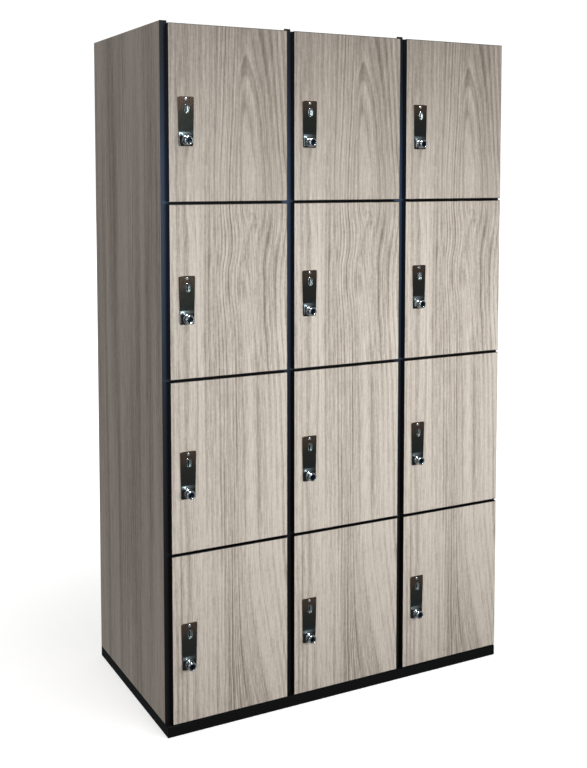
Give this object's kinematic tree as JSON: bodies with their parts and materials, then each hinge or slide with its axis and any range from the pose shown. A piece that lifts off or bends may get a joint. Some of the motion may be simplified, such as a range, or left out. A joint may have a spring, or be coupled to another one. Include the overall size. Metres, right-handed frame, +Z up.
{
  "type": "coin operated locker",
  "caption": "Free-standing bank of coin operated lockers: side-hinged wood laminate doors on a black face frame and plinth, each with a coin lock, key cylinder and turning cam.",
  "frame": {"origin": "middle of the footprint, on the floor, with the lock barrels counted in the footprint's depth", "axes": "doors face -Y, +X is right as seen from the front, +Z up"},
  "size_m": [1.081, 0.5846, 1.8675],
  "materials": {
    "door_laminate": "satin laminate, vertical grain, black edges",
    "end_laminate": "satin laminate, vertical grain",
    "inner_laminate": "matt black laminate board",
    "frame_paint": "satin black paint with a blue cast",
    "plinth_black": "black laminate board",
    "hinge_steel": "satin black",
    "lock_chrome": "dark mirror plate, bright barrel",
    "plug_steel": "bright with a dark key slot"
  },
  "bodies": {
    "carcass": {"base_plinth": "plinth_black", "bottom_panel": "inner_laminate", "left_end_panel": "end_laminate", "right_end_panel": "end_laminate", "top_panel": "end_laminate", "back_panel": "inner_laminate", "divider_1": "inner_laminate", "divider_2": "inner_laminate", "shelf_1": "inner_laminate", "shelf_2": "inner_laminate", "shelf_3": "inner_laminate", "front_frame": "frame_paint"},
    "door_c1_t1": {"door_c1_t1": "door_laminate", "hinge_leaf_c1_t1": "hinge_steel", "coin_lock_c1_t1": "lock_chrome"},
    "lock_cylinder_c1_t1": {"lock_cylinder_c1_t1": "plug_steel"},
    "door_c1_t2": {"door_c1_t2": "door_laminate", "hinge_leaf_c1_t2": "hinge_steel", "coin_lock_c1_t2": "lock_chrome"},
    "lock_cylinder_c1_t2": {"lock_cylinder_c1_t2": "plug_steel"},
    "door_c1_t3": {"door_c1_t3": "door_laminate", "hinge_leaf_c1_t3": "hinge_steel", "coin_lock_c1_t3": "lock_chrome"},
    "lock_cylinder_c1_t3": {"lock_cylinder_c1_t3": "plug_steel"},
    "door_c1_t4": {"door_c1_t4": "door_laminate", "hinge_leaf_c1_t4": "hinge_steel", "coin_lock_c1_t4": "lock_chrome"},
    "lock_cylinder_c1_t4": {"lock_cylinder_c1_t4": "plug_steel"},
    "door_c2_t1": {"door_c2_t1": "door_laminate", "hinge_leaf_c2_t1": "hinge_steel", "coin_lock_c2_t1": "lock_chrome"},
    "lock_cylinder_c2_t1": {"lock_cylinder_c2_t1": "plug_steel"},
    "door_c2_t2": {"door_c2_t2": "door_laminate", "hinge_leaf_c2_t2": "hinge_steel", "coin_lock_c2_t2": "lock_chrome"},
    "lock_cylinder_c2_t2": {"lock_cylinder_c2_t2": "plug_steel"},
    "door_c2_t3": {"door_c2_t3": "door_laminate", "hinge_leaf_c2_t3": "hinge_steel", "coin_lock_c2_t3": "lock_chrome"},
    "lock_cylinder_c2_t3": {"lock_cylinder_c2_t3": "plug_steel"},
    "door_c2_t4": {"door_c2_t4": "door_laminate", "hinge_leaf_c2_t4": "hinge_steel", "coin_lock_c2_t4": "lock_chrome"},
    "lock_cylinder_c2_t4": {"lock_cylinder_c2_t4": "plug_steel"},
    "door_c3_t1": {"door_c3_t1": "door_laminate", "hinge_leaf_c3_t1": "hinge_steel", "coin_lock_c3_t1": "lock_chrome"},
    "lock_cylinder_c3_t1": {"lock_cylinder_c3_t1": "plug_steel"},
    "door_c3_t2": {"door_c3_t2": "door_laminate", "hinge_leaf_c3_t2": "hinge_steel", "coin_lock_c3_t2": "lock_chrome"},
    "lock_cylinder_c3_t2": {"lock_cylinder_c3_t2": "plug_steel"},
    "door_c3_t3": {"door_c3_t3": "door_laminate", "hinge_leaf_c3_t3": "hinge_steel", "coin_lock_c3_t3": "lock_chrome"},
    "lock_cylinder_c3_t3": {"lock_cylinder_c3_t3": "plug_steel"},
    "door_c3_t4": {"door_c3_t4": "door_laminate", "hinge_leaf_c3_t4": "hinge_steel", "coin_lock_c3_t4": "lock_chrome"},
    "lock_cylinder_c3_t4": {"lock_cylinder_c3_t4": "plug_steel"}
  },
  "joints": [
    {"name": "door_hinge_c1_t1", "type": "hinge", "parent": "carcass", "child": "door_c1_t1", "pos_m": [-0.1835, -0.25555, 1.63413], "axis": [0, 0, 1], "range_deg": [0, 100]},
    {"name": "lock_turn_c1_t1", "type": "hinge", "parent": "door_c1_t1", "child": "lock_cylinder_c1_t1", "pos_m": [-0.479, -0.26975, 1.565], "axis": [0, 1, 0], "range_deg": [0, 90]},
    {"name": "door_hinge_c1_t2", "type": "hinge", "parent": "carcass", "child": "door_c1_t2", "pos_m": [-0.1835, -0.25555, 1.17538], "axis": [0, 0, 1], "range_deg": [0, 100]},
    {"name": "lock_turn_c1_t2", "type": "hinge", "parent": "door_c1_t2", "child": "lock_cylinder_c1_t2", "pos_m": [-0.479, -0.26975, 1.10625], "axis": [0, 1, 0], "range_deg": [0, 90]},
    {"name": "door_hinge_c1_t3", "type": "hinge", "parent": "carcass", "child": "door_c1_t3", "pos_m": [-0.1835, -0.25555, 0.71662], "axis": [0, 0, 1], "range_deg": [0, 100]},
    {"name": "lock_turn_c1_t3", "type": "hinge", "parent": "door_c1_t3", "child": "lock_cylinder_c1_t3", "pos_m": [-0.479, -0.26975, 0.6475], "axis": [0, 1, 0], "range_deg": [0, 90]},
    {"name": "door_hinge_c1_t4", "type": "hinge", "parent": "carcass", "child": "door_c1_t4", "pos_m": [-0.1835, -0.25555, 0.25788], "axis": [0, 0, 1], "range_deg": [0, 100]},
    {"name": "lock_turn_c1_t4", "type": "hinge", "parent": "door_c1_t4", "child": "lock_cylinder_c1_t4", "pos_m": [-0.479, -0.26975, 0.18875], "axis": [0, 1, 0], "range_deg": [0, 90]},
    {"name": "door_hinge_c2_t1", "type": "hinge", "parent": "carcass", "child": "door_c2_t1", "pos_m": [0.1765, -0.25555, 1.63413], "axis": [0, 0, 1], "range_deg": [0, 100]},
    {"name": "lock_turn_c2_t1", "type": "hinge", "parent": "door_c2_t1", "child": "lock_cylinder_c2_t1", "pos_m": [-0.119, -0.26975, 1.565], "axis": [0, 1, 0], "range_deg": [0, 90]},
    {"name": "door_hinge_c2_t2", "type": "hinge", "parent": "carcass", "child": "door_c2_t2", "pos_m": [0.1765, -0.25555, 1.17538], "axis": [0, 0, 1], "range_deg": [0, 100]},
    {"name": "lock_turn_c2_t2", "type": "hinge", "parent": "door_c2_t2", "child": "lock_cylinder_c2_t2", "pos_m": [-0.119, -0.26975, 1.10625], "axis": [0, 1, 0], "range_deg": [0, 90]},
    {"name": "door_hinge_c2_t3", "type": "hinge", "parent": "carcass", "child": "door_c2_t3", "pos_m": [0.1765, -0.25555, 0.71662], "axis": [0, 0, 1], "range_deg": [0, 100]},
    {"name": "lock_turn_c2_t3", "type": "hinge", "parent": "door_c2_t3", "child": "lock_cylinder_c2_t3", "pos_m": [-0.119, -0.26975, 0.6475], "axis": [0, 1, 0], "range_deg": [0, 90]},
    {"name": "door_hinge_c2_t4", "type": "hinge", "parent": "carcass", "child": "door_c2_t4", "pos_m": [0.1765, -0.25555, 0.25788], "axis": [0, 0, 1], "range_deg": [0, 100]},
    {"name": "lock_turn_c2_t4", "type": "hinge", "parent": "door_c2_t4", "child": "lock_cylinder_c2_t4", "pos_m": [-0.119, -0.26975, 0.18875], "axis": [0, 1, 0], "range_deg": [0, 90]},
    {"name": "door_hinge_c3_t1", "type": "hinge", "parent": "carcass", "child": "door_c3_t1", "pos_m": [0.5365, -0.25555, 1.63413], "axis": [0, 0, 1], "range_deg": [0, 100]},
    {"name": "lock_turn_c3_t1", "type": "hinge", "parent": "door_c3_t1", "child": "lock_cylinder_c3_t1", "pos_m": [0.241, -0.26975, 1.565], "axis": [0, 1, 0], "range_deg": [0, 90]},
    {"name": "door_hinge_c3_t2", "type": "hinge", "parent": "carcass", "child": "door_c3_t2", "pos_m": [0.5365, -0.25555, 1.17538], "axis": [0, 0, 1], "range_deg": [0, 100]},
    {"name": "lock_turn_c3_t2", "type": "hinge", "parent": "door_c3_t2", "child": "lock_cylinder_c3_t2", "pos_m": [0.241, -0.26975, 1.10625], "axis": [0, 1, 0], "range_deg": [0, 90]},
    {"name": "door_hinge_c3_t3", "type": "hinge", "parent": "carcass", "child": "door_c3_t3", "pos_m": [0.5365, -0.25555, 0.71662], "axis": [0, 0, 1], "range_deg": [0, 100]},
    {"name": "lock_turn_c3_t3", "type": "hinge", "parent": "door_c3_t3", "child": "lock_cylinder_c3_t3", "pos_m": [0.241, -0.26975, 0.6475], "axis": [0, 1, 0], "range_deg": [0, 90]},
    {"name": "door_hinge_c3_t4", "type": "hinge", "parent": "carcass", "child": "door_c3_t4", "pos_m": [0.5365, -0.25555, 0.25788], "axis": [0, 0, 1], "range_deg": [0, 100]},
    {"name": "lock_turn_c3_t4", "type": "hinge", "parent": "door_c3_t4", "child": "lock_cylinder_c3_t4", "pos_m": [0.241, -0.26975, 0.18875], "axis": [0, 1, 0], "range_deg": [0, 90]}
  ]
}
